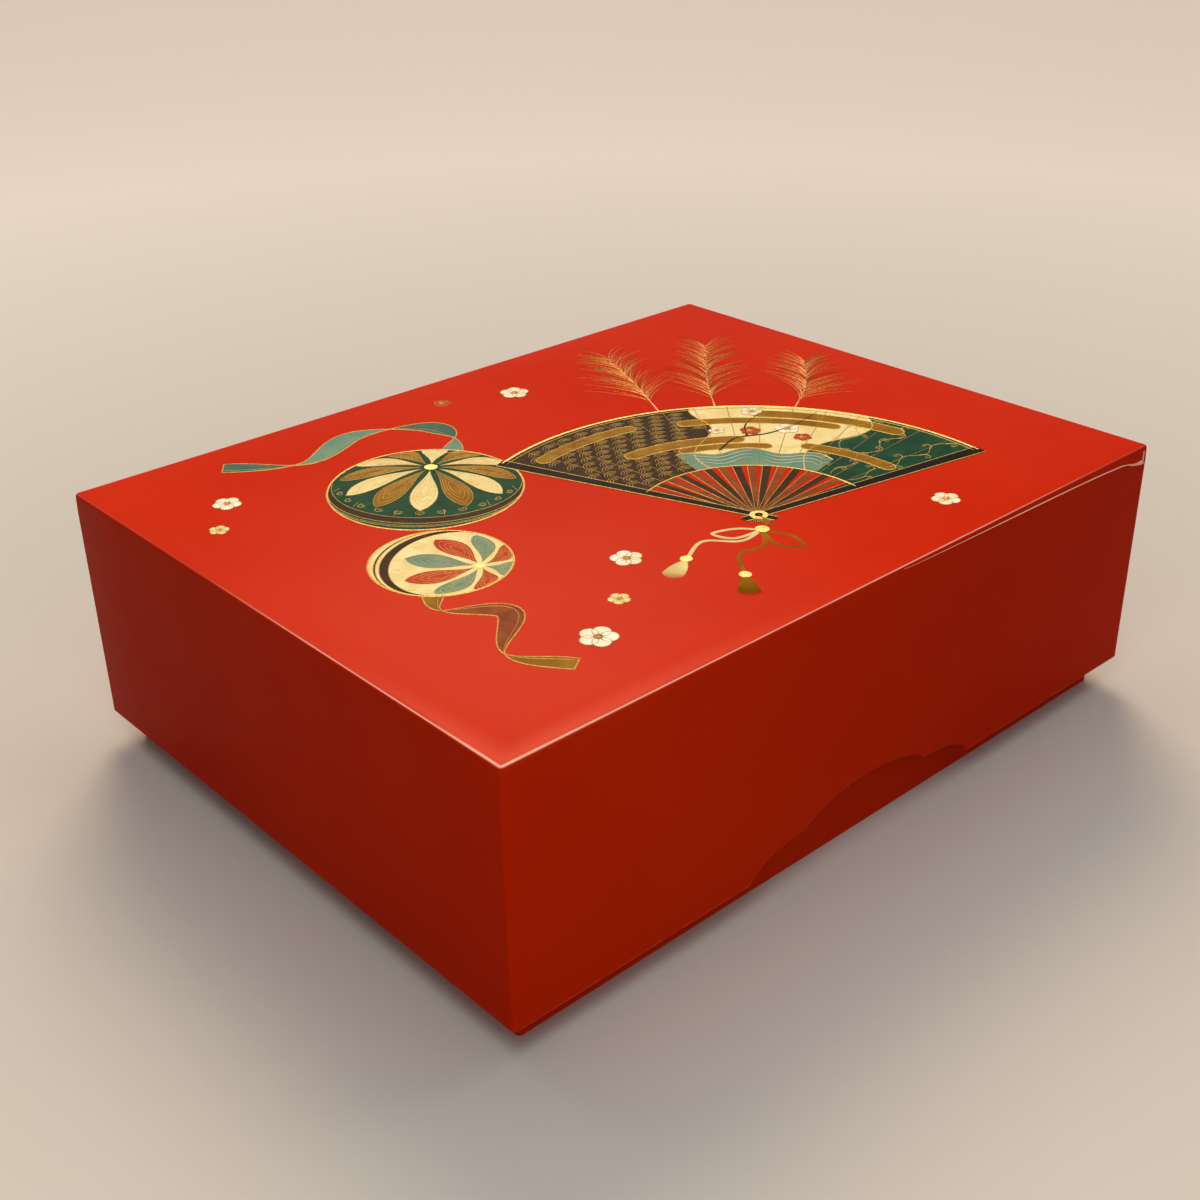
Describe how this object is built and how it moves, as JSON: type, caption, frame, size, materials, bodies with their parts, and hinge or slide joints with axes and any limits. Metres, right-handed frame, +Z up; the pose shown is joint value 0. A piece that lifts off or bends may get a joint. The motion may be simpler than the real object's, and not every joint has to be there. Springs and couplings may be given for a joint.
{
  "type": "writing box",
  "caption": "Lacquered writing box: deep cover lid with finger notches over a straight body, lift-out tray with inkstone, water dropper, ink stick and capped brushes.",
  "frame": {"origin": "centre of the footprint, at the height of the surface that the box stands on", "axes": "+Y along the long side, +X across the box, +Z up"},
  "size_m": [0.256, 0.33, 0.1085],
  "materials": {
    "red_lacquer": "smooth glossy vermilion lacquer over wood",
    "black_lacquer": "smooth black lacquer over wood",
    "bare_wood": "plain wood, hidden in the joints",
    "slate": "honed dark slate",
    "dropper_metal": "softly polished, slightly darkened",
    "ink": "moulded soot ink, smooth and dull",
    "bamboo": "polished bamboo",
    "brush_hair": "animal hair, matte"
  },
  "bodies": {
    "box_body": {"body_front_board": "red_lacquer", "body_back_board": "red_lacquer", "body_left_board": "red_lacquer", "body_right_board": "red_lacquer", "body_key_front_left": "bare_wood", "body_key_front_right": "bare_wood", "body_key_back_left": "bare_wood", "body_key_back_right": "bare_wood", "body_floor_board": "black_lacquer", "left_ledge": "black_lacquer", "right_ledge": "black_lacquer"},
    "lid": {"lid_top_board": "red_lacquer", "lid_front_board": "red_lacquer", "lid_back_board": "red_lacquer", "lid_left_board": "red_lacquer", "lid_right_board": "red_lacquer", "lid_key_front_left": "bare_wood", "lid_key_front_right": "bare_wood", "lid_key_back_left": "bare_wood", "lid_key_back_right": "bare_wood"},
    "tray": {"tray_floor_board": "black_lacquer", "tray_front_board": "black_lacquer", "tray_back_board": "black_lacquer", "tray_left_board": "black_lacquer", "tray_right_board": "black_lacquer", "tray_key_front_left": "bare_wood", "tray_key_front_right": "bare_wood", "tray_key_back_left": "bare_wood", "tray_key_back_right": "bare_wood", "long_divider": "black_lacquer", "cross_divider": "black_lacquer", "front_brush_rest": "black_lacquer", "back_brush_rest": "black_lacquer"},
    "inkstone": {"inkstone": "slate"},
    "water_dropper": {"water_dropper": "dropper_metal"},
    "ink_stick": {"ink_stick": "ink"},
    "large_brush": {"large_brush_handle": "bamboo", "large_brush_tip": "brush_hair"},
    "large_brush_cap": {"large_brush_cap": "bamboo"},
    "small_brush": {"small_brush_handle": "bamboo", "small_brush_tip": "brush_hair"},
    "small_brush_cap": {"small_brush_cap": "bamboo"}
  },
  "joints": [
    {"name": "lid_lift", "type": "slide", "parent": "box_body", "child": "lid", "axis": [0, 0, 1], "range_m": [0, 0.32]},
    {"name": "tray_lift", "type": "slide", "parent": "box_body", "child": "tray", "axis": [0, 0, 1], "range_m": [0, 0.176]},
    {"name": "inkstone_lift", "type": "slide", "parent": "tray", "child": "inkstone", "axis": [0, 0, 1], "range_m": [0, 0.064]},
    {"name": "dropper_lift", "type": "slide", "parent": "tray", "child": "water_dropper", "axis": [0, 0, 1], "range_m": [0, 0.064]},
    {"name": "ink_stick_lift", "type": "slide", "parent": "tray", "child": "ink_stick", "axis": [0, 0, 1], "range_m": [0, 0.064]},
    {"name": "large_brush_lift", "type": "slide", "parent": "tray", "child": "large_brush", "axis": [0, 0, 1], "range_m": [0, 0.064]},
    {"name": "small_brush_lift", "type": "slide", "parent": "tray", "child": "small_brush", "axis": [0, 0, 1], "range_m": [0, 0.064]},
    {"name": "large_cap_pull", "type": "slide", "parent": "large_brush", "child": "large_brush_cap", "axis": [0, 1, 0], "range_m": [0, 0.064]},
    {"name": "small_cap_pull", "type": "slide", "parent": "small_brush", "child": "small_brush_cap", "axis": [0, 1, 0], "range_m": [0, 0.064]}
  ],
  "couplings": [
    {"joint": "tray_lift", "follows": "lid_lift", "ratio": 0.55},
    {"joint": "inkstone_lift", "follows": "lid_lift", "ratio": 0.2},
    {"joint": "dropper_lift", "follows": "lid_lift", "ratio": 0.2},
    {"joint": "ink_stick_lift", "follows": "lid_lift", "ratio": 0.2},
    {"joint": "large_brush_lift", "follows": "lid_lift", "ratio": 0.2},
    {"joint": "small_brush_lift", "follows": "lid_lift", "ratio": 0.2},
    {"joint": "large_cap_pull", "follows": "lid_lift", "ratio": 0.2},
    {"joint": "small_cap_pull", "follows": "lid_lift", "ratio": 0.2}
  ]
}
